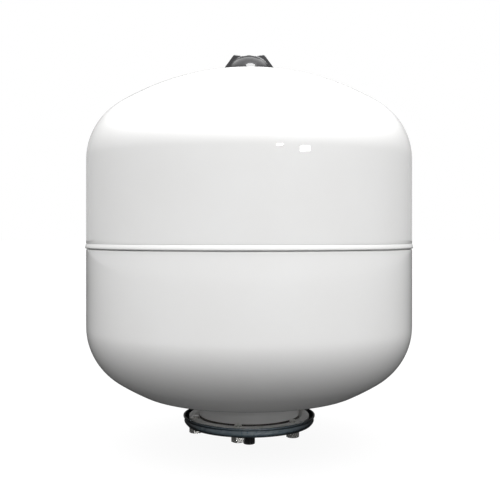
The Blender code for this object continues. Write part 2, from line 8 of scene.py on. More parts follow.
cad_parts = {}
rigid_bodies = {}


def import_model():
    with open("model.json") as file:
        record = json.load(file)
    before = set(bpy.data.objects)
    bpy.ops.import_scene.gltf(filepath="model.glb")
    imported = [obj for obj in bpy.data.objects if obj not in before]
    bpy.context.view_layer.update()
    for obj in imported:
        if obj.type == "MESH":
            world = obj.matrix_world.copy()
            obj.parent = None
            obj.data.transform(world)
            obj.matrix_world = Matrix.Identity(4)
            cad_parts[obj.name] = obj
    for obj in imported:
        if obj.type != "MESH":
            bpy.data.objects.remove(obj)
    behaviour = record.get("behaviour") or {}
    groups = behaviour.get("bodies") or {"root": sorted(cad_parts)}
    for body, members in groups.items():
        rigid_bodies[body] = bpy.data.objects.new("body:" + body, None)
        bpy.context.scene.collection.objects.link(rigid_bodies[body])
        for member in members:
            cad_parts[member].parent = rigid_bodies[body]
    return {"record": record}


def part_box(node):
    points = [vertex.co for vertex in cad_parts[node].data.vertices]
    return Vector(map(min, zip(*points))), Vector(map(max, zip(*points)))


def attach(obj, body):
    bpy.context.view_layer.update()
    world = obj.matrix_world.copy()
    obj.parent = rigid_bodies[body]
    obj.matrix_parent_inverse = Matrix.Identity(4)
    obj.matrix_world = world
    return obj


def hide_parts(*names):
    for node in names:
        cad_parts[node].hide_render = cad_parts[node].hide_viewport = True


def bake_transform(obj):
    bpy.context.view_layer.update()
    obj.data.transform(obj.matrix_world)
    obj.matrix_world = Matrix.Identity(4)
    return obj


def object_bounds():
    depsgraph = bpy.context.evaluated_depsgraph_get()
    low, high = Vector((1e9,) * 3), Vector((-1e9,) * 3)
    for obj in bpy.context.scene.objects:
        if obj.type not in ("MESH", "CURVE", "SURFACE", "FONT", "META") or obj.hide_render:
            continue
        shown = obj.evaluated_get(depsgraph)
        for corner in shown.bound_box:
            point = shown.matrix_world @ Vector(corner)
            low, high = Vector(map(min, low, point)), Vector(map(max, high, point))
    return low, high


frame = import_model()
CAD_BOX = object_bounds()
FULL_TURN = 2 * pi

# ---- sizes, in metres ----

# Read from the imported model
TANK_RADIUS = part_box("upper_shell")[1].x
BEAD_LOW, BEAD_HIGH = (corner.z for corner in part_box("girth_weld_bead"))
BEAD_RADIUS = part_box("girth_weld_bead")[1].x
LIP_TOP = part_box("lower_shell")[1].z
COLLAR_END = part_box("lower_shell")[0].z
RING_LOW, RING_HIGH = (corner.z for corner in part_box("tank_flange_ring"))
RING_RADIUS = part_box("tank_flange_ring")[1].x
RIM_LOW, RIM_HIGH = (corner.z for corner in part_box("service_flange"))
RIM_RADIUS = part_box("service_flange")[1].x
NOZZLE_LOW, NOZZLE_HIGH = (corner.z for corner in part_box("water_nozzle"))
NOZZLE_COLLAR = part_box("water_nozzle")[1].x
PLUG_LOW, PLUG_HIGH = (corner.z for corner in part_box("transit_plug"))

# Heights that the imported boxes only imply
SEAM_Z = BEAD_HIGH - 0.0057
UPPER_EDGE_Z = BEAD_HIGH + 0.0003
SKIRT_TOP_Z = SEAM_Z + 0.0972
SKIRT_BOTTOM_Z = SEAM_Z - 0.0841
PLATE_HIGH = NOZZLE_HIGH
PLATE_LOW = PLATE_HIGH - 0.0018

# The same driving sizes as the CAD
GAP = 0.0003
WALL = 0.0015
GROOVE_WIDTH = 0.0040
GROOVE_DEPTH = 0.0016
# Height above the ring's top of the painted shade band where collar and ring meet
JOINT_SHADE_HEIGHT = 0.0009
CROWN_RADIUS = 0.276
KNUCKLE_RADIUS = 0.070
FLOOR_BEND_START = 0.122
FLOOR_BEND_RADIUS = 0.030
FLOOR_SLOPE = radians(9)
COLLAR_RADIUS = 0.056
COLLAR_FILLET = 0.012
RIM_WALL = 0.0018
RIM_TAPER = 0.0011

BOLT_RADIUS = 0.004
BOLT_THREAD_PITCH = 0.00125
BOLT_THREAD_DEPTH = 0.00068
BOLT_PLAIN_SHANK = 0.004
BOLT_ACROSS_FLATS = 0.013
BOLT_POINT = 0.0010
BOLT_HEAD_EDGE = 0.0002
BOLT_CHAMFER_SHARE = 0.95
BOLT_CHAMFER_SLOPE = tan(radians(30))
BOLT_COUNT = 6

THREAD_RADIUS = 0.0132
NOZZLE_THREAD_PITCH = 0.001814
NOZZLE_THREAD_DEPTH = 0.00116
NOZZLE_BORE = 0.010
NOZZLE_COLLAR_HEIGHT = 0.002
NOZZLE_UNDERCUT = 0.0012
NOZZLE_CHAMFER = 0.0008
NOZZLE_BORE_CHAMFER = 0.0004
STRAINER_HOLE = 0.0022
STRAINER_HOLE_CIRCLE = 0.0115
STRAINER_HOLE_COUNT = 6

# Transit plug, heights above the nozzle's end
PLUG_BODY = NOZZLE_BORE - 2 * GAP
PLUG_LIP = 0.0006
PLUG_GROOVE_DEPTH = 0.0012
PLUG_GROOVE_LOW = 0.0020
PLUG_GROOVE_HIGH = 0.0042
PLUG_GRIP = 0.0066
PLUG_FLUTES = 12
PLUG_FLUTE_DEPTH = 0.00022
PLUG_FLUTE_START = 0.0008
PLUG_FLUTE_END = 0.0016
PLUG_PIECE = 0.0006

# Bladder
BLADDER_RADIUS = 0.118
BLADDER_WALL = 0.002
BLADDER_NECK = COLLAR_RADIUS - WALL - GAP
BLADDER_RIM = 0.0574
BLADDER_RIM_HEIGHT = 0.004
BLADDER_FOLDS = 7
BLADDER_FOLD_DEPTH = 0.0045
BLADDER_SWELL = 0.0010
BLADDER_WAIST_Z = SEAM_Z - 0.070
BLADDER_NECK_Z = SEAM_Z - 0.160
BLADDER_FOLD_FADE = 1.9

# Bores of the soft rings
RING_BORES = {
    "transit_plug_ring": 0.0083,
    "guard_cap_gasket": 0.0175,
    "valve_stem_gasket": 0.00415,
    "valve_core_seal": 0.0009,
}

# Gas valve boss; every height from here on is above the crown's top
CROWN_HOLE = 0.0093
BOSS_SHANK = 0.009
BOSS_FLANGE = 0.015
BOSS_COLLAR = 0.0105
BOSS_RECESS = 0.0068
BOSS_BORE = 0.00415
BOSS_TOP = 0.0072
BOSS_STEP = 0.0022
BOSS_FLOOR = -0.0016
BOSS_END = -0.0136
BOSS_THREAD_LOW = 0.0024
BOSS_THREAD_HIGH = 0.0069
BOSS_THREAD_PITCH = 0.002
BOSS_THREAD_DEPTH = 0.0006
BOSS_THREAD_PIECES = 20

# Valve stem
STEM_RADIUS = 0.00385
STEM_FLANGE = 0.0058
STEM_BORE = 0.0025
STEM_TOP = 0.0080
STEM_FLANGE_HIGH = 0.0006
STEM_FLANGE_LOW = -0.0002
STEM_END = -0.0176
STEM_THREAD_LOW = 0.0012
STEM_THREAD_HIGH = 0.0077
STEM_THREAD_PITCH = 0.0008
STEM_THREAD_DEPTH = 0.00028
STEM_PIECE = STEM_THREAD_PITCH / 5

# Valve core
CORE_RADIUS = 0.0022
CORE_RECESS = 0.0016
CORE_WAIST = 0.0018
CORE_WAIST_HIGH = 0.0020
CORE_WAIST_LOW = -0.0026
CORE_TOP = 0.0069
CORE_STEP = 0.0006
CORE_END = -0.0096
PIN_RADIUS = 0.0006
PIN_HEAD = 0.0013
PIN_FOOT = 0.0015
PIN_TOP = 0.0067
PIN_NECK = 0.0059
PIN_ANKLE = -0.0119
PIN_END = -0.0127
SPRING_WIRE = 0.00015
SPRING_TURNS = 4
SPRING_STEPS = 32

# Dust cap
DUST_CAP_RADIUS = 0.0052
DUST_CAP_BORE = 0.0042
DUST_CAP_TOP = 0.0103
DUST_CAP_CEILING = 0.0093
DUST_CAP_LOW = 0.0010
DUST_CAP_RIBS = 24
DUST_CAP_RIB_DEPTH = 0.00018

# Guard cap
CAP_RADIUS = 0.023
CAP_WALL = 0.0015
CAP_CENTRE = -0.0011
CAP_HEIGHT = 0.0186
CAP_LOW = -0.0005
CAP_CEILING = 0.0148
CAP_BUTTON = 0.0034
CAP_BUTTON_RISE = 0.0005
CAP_BUTTON_SLOPE = 0.0006
CAP_CUT_END = -0.004
SOCKET_RADIUS = 0.0126
SOCKET_BORE = 0.0108
SOCKET_LOW = 0.0026
SOCKET_TOP = 0.0136
WING_REACH = 0.0304
WING_TOP = 0.0187
WING_TOP_REACH = 0.0174
WING_ROOT = 0.004
WING_THICKNESS = 0.0036
MELT_SIZE = 0.00035

REACH = TANK_RADIUS - KNUCKLE_RADIUS
TANGENT = acos(REACH / (CROWN_RADIUS - KNUCKLE_RADIUS))
CROWN_RISE = CROWN_RADIUS - (CROWN_RADIUS - KNUCKLE_RADIUS) * sin(TANGENT)
CROWN_TOP_Z = SKIRT_TOP_Z + CROWN_RISE

# Threads: flat of the groove, steepness of its sides, run-out as a share of the pitch
THREAD_FLAT = 1.25
THREAD_SLOPE = 4
THREAD_RUN_OUT = 0.6

# Facets of a full turn
TANK_STEPS = 256
FLANGE_STEPS = 192
FITTING_STEPS = 96
SMALL_STEPS = 64
HOLE_STEPS = 32
SHARP_DEGREES = 35
MERGE = 1e-7

RECORD = frame["record"]
NODE_SLOT = {part["node"]: part["material_slot"] for part in RECORD["subparts"]}
NODE_BODY = {node: body for body, nodes in RECORD["behaviour"]["bodies"].items() for node in nodes}

# ---- mesh helpers ----


def arc(centre, radius, start, end, count):
    """Points on an arc in the (radius, height) plane, angles in radians from the horizontal."""
    angles = [start + (end - start) * i / count for i in range(count + 1)]
    return [(centre[0] + radius * cos(a), centre[1] + radius * sin(a)) for a in angles]


def rounded(corners, closed=True, count=4):
    """Profile points from (radius, height, rounding) corners, each rounding cut back along both edges."""
    found = []
    total = len(corners)
    for i, (radius, height, cut) in enumerate(corners):
        here = Vector((radius, height))
        inside = closed or 0 < i < total - 1
        if cut == 0.0 or not inside:
            found.append((radius, height))
            continue
        before = Vector(corners[i - 1][:2])
        after = Vector(corners[(i + 1) % total][:2])
        start = here + (before - here).normalized() * cut
        end = here + (after - here).normalized() * cut
        for step in range(count + 1):
            s = step / count
            point = start * (1 - s) ** 2 + here * 2 * s * (1 - s) + end * s**2
            found.append((point.x, point.y))
    return found


def sheet(outer, wall):
    """A closed profile: the outer line, then the same line moved inwards by the wall, backwards."""
    inner = []
    last = len(outer) - 1
    for i, (radius, height) in enumerate(outer):
        before = Vector(outer[max(i - 1, 0)])
        after = Vector(outer[min(i + 1, last)])
        along = (after - before).normalized()
        inner.append((max(radius + along.y * wall, 0.0), height - along.x * wall))
    if outer[0][0] == 0.0:
        inner[0] = (0.0, outer[0][1] - wall)
    return list(outer) + inner[::-1]


def add_object(name, data):
    """A new object in the scene, made of a mesh, a curve, a lamp or a camera."""
    obj = bpy.data.objects.new(name, data)
    bpy.context.scene.collection.objects.link(obj)
    return obj


def mesh_of(name, work):
    """Turns the edited shape into a mesh."""
    mesh = bpy.data.meshes.new(name)
    work.to_mesh(mesh)
    work.free()
    return mesh


def finish_mesh(name, work, sharp_degrees):
    """Welds the points, turns the faces out and shades the mesh smooth up to an angle."""
    bmesh.ops.remove_doubles(work, verts=work.verts, dist=MERGE)
    bmesh.ops.recalc_face_normals(work, faces=work.faces)
    mesh = mesh_of(name, work)
    mesh.shade_smooth()
    mesh.set_sharp_from_angle(angle=radians(sharp_degrees))
    return mesh


def lathe(name, profile, steps, relief=None, sharp_degrees=SHARP_DEGREES):
    """A solid of revolution. relief(angle, radius, height) is taken off the radius."""
    work = bmesh.new()
    rings = []
    for radius, height in profile:
        if radius == 0.0:
            rings.append([work.verts.new((0.0, 0.0, height))])
            continue
        ring = []
        for i in range(steps):
            angle = FULL_TURN * i / steps
            r = radius - relief(angle, radius, height) if relief else radius
            ring.append(work.verts.new((r * cos(angle), r * sin(angle), height)))
        rings.append(ring)
    pairs = list(zip(rings, rings[1:]))
    if profile[0][0] > 0.0:
        pairs.append((rings[-1], rings[0]))
    for upper, lower in pairs:
        for i in range(steps):
            j = (i + 1) % steps
            corners = [(upper, i), (lower, i), (lower, j), (upper, j)]
            face = list(dict.fromkeys(ring[k % len(ring)] for ring, k in corners))
            if len(face) > 2:
                work.faces.new(face)
    return add_object(name, finish_mesh(name, work, sharp_degrees))


def helix_relief(low, high, pitch, depth):
    """A V thread with flat crests between two heights, running out at both ends."""

    def relief(angle, radius, height):
        if not low < height < high:
            return 0.0
        phase = (height / pitch - angle / FULL_TURN) % 1.0
        groove = min(1.0, max(0.0, THREAD_FLAT - abs(phase - 0.5) * THREAD_SLOPE))
        fade = THREAD_RUN_OUT * pitch
        run_out = min(1.0, (height - low) / fade, (high - height) / fade)
        return depth * groove * run_out

    return relief


def levels(high, low, pitch, per_pitch=10):
    """Heights from high to low, fine enough for a thread of that pitch."""
    count = max(2, round((high - low) / pitch * per_pitch))
    return [high + (low - high) * i / count for i in range(count + 1)]


def refined(profile, pieces_of):
    """The profile with each stretch cut into pieces_of(start, end) equal pieces."""
    fine = []
    for start, end in zip(profile, profile[1:]):
        pieces = pieces_of(start, end)
        fine += [tuple(Vector(start).lerp(Vector(end), i / pieces)) for i in range(pieces)]
    return fine


def shown_mesh(obj):
    """The mesh that the object shows, with its modifiers or its curve worked out."""
    bpy.context.view_layer.update()
    graph = bpy.context.evaluated_depsgraph_get()
    return bpy.data.meshes.new_from_object(obj.evaluated_get(graph))


def apply_modifiers(obj):
    """Turns the object's modifiers into its mesh."""
    made = shown_mesh(obj)
    obj.modifiers.clear()
    obj.data = made
    return obj


def boolean(obj, tool, operation):
    """Cuts or joins with a helper mesh, which is then removed."""
    cut = obj.modifiers.new(operation.title(), "BOOLEAN")
    cut.operation = operation
    cut.solver = "EXACT"
    cut.object = tool
    apply_modifiers(obj)
    bpy.data.objects.remove(tool)
    return obj


def drill(obj, centres, radius, low, high):
    """Cuts round upright holes into a piece, one at each (x, y)."""
    work = bmesh.new()
    for x, y in centres:
        bmesh.ops.create_cone(
            work,
            cap_ends=True,
            segments=HOLE_STEPS,
            radius1=radius,
            radius2=radius,
            depth=high - low,
            matrix=Matrix.Translation((x, y, (low + high) / 2)),
        )
    boolean(obj, add_object("holes", mesh_of("holes", work)), "DIFFERENCE")
    obj.data.set_sharp_from_angle(angle=radians(SHARP_DEGREES))
    return obj


# ---- materials ----

# Most of a noise texture's values lie between these
NOISE_LOW = 0.3
NOISE_HIGH = 0.7


def add_node(tree, kind, inputs, **settings):
    """A shader node: its settings, then its inputs, each a value or another node's output."""
    node = tree.nodes.new("ShaderNode" + kind)
    for name, value in settings.items():
        setattr(node, name, value)
    for key, value in inputs.items():
        if isinstance(value, bpy.types.NodeSocket):
            tree.links.new(value, node.inputs[key])
        else:
            node.inputs[key].default_value = value
    return node


def add_ramp(tree, value, start, end, low, high, **settings):
    """Maps start..end onto low..high."""
    inputs = {"Value": value, "From Min": start, "From Max": end, "To Min": low, "To Max": high}
    return add_node(tree, "MapRange", inputs, **settings).outputs["Result"]


class Shader:
    """A Principled material patterned by noises, which stretch can draw out along an axis."""

    def __init__(self, name, colour, roughness, metallic=0.0, stretch=(1.0, 1.0, 1.0)):
        self.material = bpy.data.materials.new(name)
        self.material.use_nodes = True
        self.tree = self.material.node_tree
        self.surface = self.tree.nodes["Principled BSDF"]
        self.set(Base_Color=(*colour, 1.0), Roughness=roughness, Metallic=metallic)
        self.place = add_node(self.tree, "TexCoord", {}).outputs["Object"]
        stretched = add_node(self.tree, "Mapping", {"Vector": self.place, "Scale": stretch})
        self.stretched = stretched.outputs["Vector"]

    def set(self, **values):
        """Plain values of the surface's inputs; an underscore stands for a space."""
        for name, value in values.items():
            self.surface.inputs[name.replace("_", " ")].default_value = value

    def feed(self, name, output):
        self.tree.links.new(output, self.surface.inputs[name])

    def noise(self, size, detail):
        """Noise whose features are about size metres across."""
        inputs = {"Vector": self.stretched, "Scale": 1.0 / size, "Detail": detail}
        return add_node(self.tree, "TexNoise", inputs).outputs["Fac"]

    def spread(self, size, detail, low, high):
        """Maps the middle of a noise onto low..high."""
        return add_ramp(self.tree, self.noise(size, detail), NOISE_LOW, NOISE_HIGH, low, high)

    def mix(self, factor, first, second):
        """Base colour between two colours."""
        inputs = {"Factor": factor, "A": first, "B": second}
        self.feed("Base Color", add_node(self.tree, "Mix", inputs, data_type="RGBA").outputs["Result"])

    def mottle(self, size, detail, first, second):
        """Base colour between two colours, by a noise."""
        self.mix(self.spread(size, detail, 0.0, 1.0), (*first, 1.0), (*second, 1.0))

    def base(self):
        """What feeds the base colour so far."""
        return self.surface.inputs["Base Color"].links[0].from_socket

    def band(self, low, high, colour):
        """Another base colour between two heights."""
        height = add_node(self.tree, "SeparateXYZ", {"Vector": self.place}).outputs["Z"]
        inputs = {0: height, 1: (low + high) / 2, 2: (high - low) / 2}
        inside = add_node(self.tree, "Math", inputs, operation="COMPARE").outputs["Value"]
        self.mix(inside, self.base(), (*colour, 1.0))

    def paint_glancing_shade(self, start, end, share):
        """Painted shade: darkens the base colour and the shine where the surface turns away from the viewer.
        """
        turned = add_node(self.tree, "LayerWeight", {}).outputs["Facing"]
        dim = add_ramp(self.tree, turned, start, end, 1.0, share)
        shaded = add_node(self.tree, "VectorMath", {"Vector": self.base(), "Scale": dim}, operation="SCALE")
        self.feed("Base Color", shaded.outputs["Vector"])
        inputs = {0: dim, 1: self.surface.inputs["Coat Weight"].default_value}
        shine = add_node(self.tree, "Math", inputs, operation="MULTIPLY").outputs["Value"]
        self.feed("Coat Weight", shine)
        self.feed("Specular IOR Level", shine)

    def rough(self, size, detail, low, high):
        """Roughness between two values, by a noise."""
        self.feed("Roughness", self.spread(size, detail, low, high))

    def bump(self, size, detail, height, strength):
        """Fine relief of that height in metres, by a noise."""
        inputs = {"Height": self.noise(size, detail), "Distance": height, "Strength": strength}
        self.feed("Normal", add_node(self.tree, "Bump", inputs).outputs["Normal"])


def tank_paint():
    """Gloss white epoxy coat with a faint orange peel; a dark band painted round the collar's foot, where it
    enters the ring, stands for the shade in that joint.
    """
    look = Shader("tank_paint", (0.84, 0.84, 0.83), 0.35)
    look.set(Specular_IOR_Level=0.2, Coat_Weight=1.0, Coat_Roughness=0.012)
    look.mottle(0.06, 4.0, (0.755, 0.753, 0.747), (0.77, 0.77, 0.766))
    # Painted shade: a dark band on the collar, from the groove's floor to just above the ring, stands for the
    # shadow in the joint
    look.band(RING_HIGH - GROOVE_DEPTH, RING_HIGH + JOINT_SHADE_HEIGHT, (0.07, 0.06, 0.055))
    look.rough(0.03, 3.0, 0.32, 0.40)
    look.bump(0.0035, 2.0, 0.00002, 0.2)
    return look


def ring_paint():
    """Satin off-white coat, a little dusty."""
    look = Shader("ring_paint", (0.80, 0.80, 0.785), 0.4)
    look.mottle(0.008, 5.0, (0.74, 0.73, 0.71), (0.86, 0.86, 0.84))
    look.rough(0.004, 4.0, 0.32, 0.50)
    look.bump(0.0012, 3.0, 0.00005, 0.4)
    return look


def flange_paint():
    """Semi-gloss dark blue-grey coat on pressed steel, with painted shade where it turns away from the
    viewer.
    """
    look = Shader("flange_paint", (0.075, 0.100, 0.118), 0.3)
    look.set(Coat_Weight=0.4, Coat_Roughness=0.12)
    look.mottle(0.006, 5.0, (0.062, 0.086, 0.104), (0.096, 0.124, 0.142))
    # Painted shade: the flange's ends darken towards its outline
    look.paint_glancing_shade(0.15, 0.60, 0.12)
    look.rough(0.003, 4.0, 0.24, 0.40)
    look.bump(0.0014, 3.0, 0.00005, 0.4)
    return look


def zinc_plate():
    look = Shader("zinc_plate", (0.70, 0.71, 0.72), 0.32, 1.0)
    look.mottle(0.004, 4.0, (0.62, 0.63, 0.64), (0.76, 0.76, 0.74))
    look.rough(0.0015, 4.0, 0.24, 0.42)
    look.bump(0.0006, 3.0, 0.00002, 0.12)
    return look


def bright_zinc():
    look = Shader("bright_zinc", (0.82, 0.82, 0.79), 0.22, 1.0)
    look.mottle(0.003, 4.0, (0.76, 0.76, 0.74), (0.88, 0.87, 0.84))
    look.rough(0.0012, 4.0, 0.16, 0.32)
    look.bump(0.0005, 3.0, 0.00002, 0.12)
    return look


def stainless():
    """Brushed steel: fine lines along one axis."""
    look = Shader("stainless", (0.62, 0.62, 0.61), 0.3, 1.0, stretch=(1.0, 30.0, 30.0))
    look.mottle(0.004, 3.0, (0.55, 0.55, 0.54), (0.68, 0.68, 0.67))
    look.rough(0.004, 3.0, 0.24, 0.38)
    look.bump(0.004, 3.0, 0.00001, 0.5)
    return look


def brass():
    """Turned brass: fine rings round the axis."""
    look = Shader("brass", (0.74, 0.56, 0.27), 0.3, 1.0, stretch=(0.15, 0.15, 14.0))
    look.mottle(0.003, 2.0, (0.66, 0.48, 0.21), (0.80, 0.62, 0.32))
    look.rough(0.003, 2.0, 0.20, 0.36)
    look.bump(0.003, 2.0, 0.00001, 0.5)
    return look


def bladder_rubber():
    look = Shader("bladder_rubber", (0.030, 0.030, 0.032), 0.6)
    look.mottle(0.020, 5.0, (0.022, 0.022, 0.024), (0.045, 0.044, 0.044))
    look.rough(0.006, 4.0, 0.48, 0.72)
    look.bump(0.0009, 3.0, 0.00006, 0.5)
    return look


def seal_rubber():
    look = Shader("seal_rubber", (0.025, 0.025, 0.026), 0.55)
    look.mottle(0.003, 4.0, (0.018, 0.018, 0.019), (0.036, 0.036, 0.036))
    look.rough(0.0015, 3.0, 0.42, 0.66)
    look.bump(0.0004, 3.0, 0.00002, 0.5)
    return look


def cap_plastic():
    """Gloss moulded charcoal plastic."""
    look = Shader("cap_plastic", (0.006, 0.006, 0.007), 0.45)
    look.set(Specular_IOR_Level=0.08, Coat_Weight=0.43, Coat_Roughness=0.04)
    look.mottle(0.009, 4.0, (0.004, 0.004, 0.0045), (0.008, 0.008, 0.009))
    look.rough(0.004, 3.0, 0.38, 0.52)
    look.bump(0.0009, 2.0, 0.00002, 0.3)
    return look


def black_plastic():
    look = Shader("black_plastic", (0.020, 0.022, 0.025), 0.3)
    look.mottle(0.004, 4.0, (0.016, 0.018, 0.020), (0.027, 0.029, 0.032))
    look.rough(0.002, 3.0, 0.24, 0.38)
    look.bump(0.0005, 3.0, 0.00002, 0.4)
    return look


PAINTS = (tank_paint, ring_paint, flange_paint)
METALS = (zinc_plate, bright_zinc, stainless, brass)
POLYMERS = (bladder_rubber, seal_rubber, cap_plastic, black_plastic)
MATERIALS = {make.__name__: make().material for make in PAINTS + METALS + POLYMERS}


def dress(obj, node):
    """Gives a piece the material of the node it stands for."""
    obj.data.materials.clear()
    obj.data.materials.append(MATERIALS[NODE_SLOT[node]])
    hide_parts(node)
    return obj


def fit(obj, node):
    """A rigid piece stands for its node and rides on the node's body."""
    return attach(dress(obj, node), NODE_BODY[node])


# ---- tank ----


def make_upper_shell():
    """The crown with its valve hole, the knuckle and the skirt down to its open edge."""
    crown_centre = (0.0, SKIRT_TOP_Z + CROWN_RISE - CROWN_RADIUS)
    outer = arc(crown_centre, CROWN_RADIUS, acos(CROWN_HOLE / CROWN_RADIUS), TANGENT, count=40)
    outer += arc((REACH, SKIRT_TOP_Z), KNUCKLE_RADIUS, TANGENT, 0.0, count=30)[1:]
    outer += [(TANK_RADIUS, SKIRT_TOP_Z + (UPPER_EDGE_Z - SKIRT_TOP_Z) * i / 4) for i in range(1, 5)]
    return fit(lathe("upper_dome", sheet(outer, WALL), TANK_STEPS), "upper_shell")


def lower_crown():
    """The crown, its bend, the flatter floor and the rounding into the collar."""
    centre = (0.0, SKIRT_BOTTOM_Z + CROWN_RADIUS - CROWN_RISE)
    start = acos(FLOOR_BEND_START / CROWN_RADIUS)
    points = arc(centre, CROWN_RADIUS, -TANGENT, -start, count=12)[1:]
    inward = CROWN_RADIUS - FLOOR_BEND_RADIUS
    bend = (inward * cos(start), centre[1] - inward * sin(start))
    floor_start = pi / 2 - FLOOR_SLOPE
    points += arc(bend, FLOOR_BEND_RADIUS, -start, -floor_start, count=12)[1:]
    floor_radius = points[-1][0] / sin(FLOOR_SLOPE)
    floor_centre = points[-1][1] + floor_radius * cos(FLOOR_SLOPE)
    reach = COLLAR_RADIUS + COLLAR_FILLET
    drop = sqrt((floor_radius + COLLAR_FILLET) ** 2 - reach**2)
    meets = atan2(drop, reach)
    points += arc((0.0, floor_centre), floor_radius, -floor_start, -meets, count=12)[1:]
    points += arc((reach, floor_centre - drop), COLLAR_FILLET, pi - meets, pi, count=10)[1:]
    return points


def make_lower_shell():
    """The skirt with its pressed-in lip, the dome and the short collar at the bottom."""
    lip = TANK_RADIUS - WALL - GAP
    shoulder = rounded(
        [
            (lip, LIP_TOP, 0.0),
            (lip, BEAD_LOW - GAP, 0.0002),
            (TANK_RADIUS, BEAD_LOW - 0.0008, 0.0005),
            (TANK_RADIUS, SKIRT_BOTTOM_Z, 0.0),
        ],
        closed=False,
        count=6,
    )
    outer = shoulder + arc((REACH, SKIRT_BOTTOM_Z), KNUCKLE_RADIUS, 0.0, -TANGENT, count=30)[1:]
    outer += lower_crown()
    outer.append((COLLAR_RADIUS, COLLAR_END))
    return fit(lathe("lower_dome", sheet(outer, WALL), TANK_STEPS), "lower_shell")


def make_bead():
    """The seam's raised band: its upper side leans outwards, its lower edge is undercut."""
    inner = TANK_RADIUS - WALL
    profile = rounded(
        [
            (inner, BEAD_HIGH, 0.0),
            (TANK_RADIUS + 0.0002, BEAD_HIGH, 0.0002),
            (BEAD_RADIUS, BEAD_LOW + 0.0024, 0.0010),
            (BEAD_RADIUS, BEAD_LOW + 0.0006, 0.0006),
            (TANK_RADIUS, BEAD_LOW, 0.0004),
            (inner, BEAD_LOW, 0.0),
        ],
        count=6,
    )
    return fit(lathe("girth_bead", profile, TANK_STEPS), "girth_weld_bead")


# ---- flange ----


def bolt_places():
    """Centre and turn of each bolt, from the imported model."""
    found = []
    for number in range(1, BOLT_COUNT + 1):
        low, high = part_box(f"flange_bolt_{number}")
        x, y = (low.x + high.x) / 2, (low.y + high.y) / 2
        found.append((x, y, atan2(y, x)))
    return found


def drill_bolt_holes(obj):
    """Cuts the holes of the six bolts."""
    centres = [(x, y) for x, y, _ in bolt_places()]
    reach = 0.01
    return drill(obj, centres, BOLT_RADIUS + GAP, RIM_LOW - reach, RIM_HIGH + reach)


def make_ring():
    """The ring, with the groove in which it is joined to the collar."""
    profile = rounded(
        [
            (COLLAR_RADIUS + GROOVE_WIDTH, RING_HIGH, 0.0004),
            (RING_RADIUS, RING_HIGH, 0.0007),
            (RING_RADIUS, RING_LOW, 0.0005),
            (COLLAR_RADIUS + GAP, RING_LOW, 0.0003),
            (COLLAR_RADIUS + GAP, RING_HIGH - GROOVE_DEPTH, 0.0003),
        ]
    )
    return fit(drill_bolt_holes(lathe("neck_ring", profile, FLANGE_STEPS)), "tank_flange_ring")


def make_flange():
    """A pressed plate: turned-up rim with a rolled edge, a shallow groove under it and a rounded foot."""
    inner = RIM_RADIUS - RIM_WALL
    foot = RIM_RADIUS - RIM_TAPER
    hole = THREAD_RADIUS + GAP
    profile = rounded(
        [
            (hole, PLATE_HIGH, 0.0003),
            (foot - RIM_WALL, PLATE_HIGH, 0.0010),
            # The rolled edge
            (inner, RIM_HIGH - 0.0020, 0.0010),
            (inner, RIM_HIGH, 0.0008),
            (RIM_RADIUS, RIM_HIGH, 0.0009),
            (RIM_RADIUS, RIM_HIGH - 0.0016, 0.0007),
            # The groove under it
            (foot - 0.0010, RIM_HIGH - 0.0032, 0.0009),
            (foot, RIM_LOW + 0.0048, 0.0012),
            # The rounded foot
            (foot, RIM_LOW + 0.0030, 0.0012),
            (foot - 0.0026, RIM_LOW, 0.0010),
            (foot - RIM_WALL - 0.0014, RIM_LOW, 0.0005),
            (foot - RIM_WALL - 0.0022, PLATE_LOW, 0.0006),
            (hole, PLATE_LOW, 0.0003),
        ],
        count=5,
    )
    return fit(drill_bolt_holes(lathe("flange_pan", profile, FLANGE_STEPS)), "service_flange")


def hex_reach(angle, apothem):
    """Distance from the axis to the side of a hexagon with a corner at angle 0."""
    sector = pi / 3
    return apothem / cos((angle % sector) - sector / 2)


def make_bolt_mesh(head_low, bearing, tip):
    """A hex bolt: a chamfered head below its bearing face, a threaded shank above."""
    apothem = BOLT_ACROSS_FLATS / 2
    chamfer_radius = BOLT_CHAMFER_SHARE * apothem
    steps = SMALL_STEPS - SMALL_STEPS % 6
    thread_low = bearing + BOLT_PLAIN_SHANK
    relief = helix_relief(thread_low, tip - 0.6 * BOLT_POINT, BOLT_THREAD_PITCH, BOLT_THREAD_DEPTH)
    work = bmesh.new()
    shank = [(0.0, tip)]
    shank += [(BOLT_RADIUS - BOLT_POINT, tip), (BOLT_RADIUS - 0.05 * BOLT_POINT, tip - 0.9 * BOLT_POINT)]
    shank += [(BOLT_RADIUS, z) for z in levels(tip - BOLT_POINT, thread_low, BOLT_THREAD_PITCH)]
    shank.append((BOLT_RADIUS, bearing))
    rings = []

    def add_ring(radius_of, height_of):
        """A ring of points; radius_of(angle) and height_of(radius) shape it."""
        ring = []
        for i in range(steps):
            angle = FULL_TURN * i / steps
            r = radius_of(angle)
            ring.append(work.verts.new((r * cos(angle), r * sin(angle), height_of(r))))
        rings.append(ring)

    def chamfer(radius):
        return head_low + BOLT_CHAMFER_SLOPE * (radius - chamfer_radius)

    for radius, height in shank:
        add_ring(lambda a: max(radius - relief(a, radius, height), 0.0), lambda r: height)
    add_ring(lambda a: hex_reach(a, apothem) - BOLT_HEAD_EDGE, lambda r: bearing)
    add_ring(lambda a: hex_reach(a, apothem), lambda r: bearing - BOLT_HEAD_EDGE)
    add_ring(lambda a: hex_reach(a, apothem), chamfer)
    add_ring(lambda a: chamfer_radius, lambda r: head_low)
    add_ring(lambda a: 0.0, lambda r: head_low)
    for upper, lower in zip(rings, rings[1:]):
        for i in range(steps):
            j = (i + 1) % steps
            work.faces.new((upper[i], lower[i], lower[j], upper[j]))
    bmesh.ops.remove_doubles(work, verts=work.verts, dist=MERGE)
    bmesh.ops.dissolve_degenerate(work, edges=work.edges, dist=MERGE)
    return finish_mesh("hex_bolt", work, sharp_degrees=28)


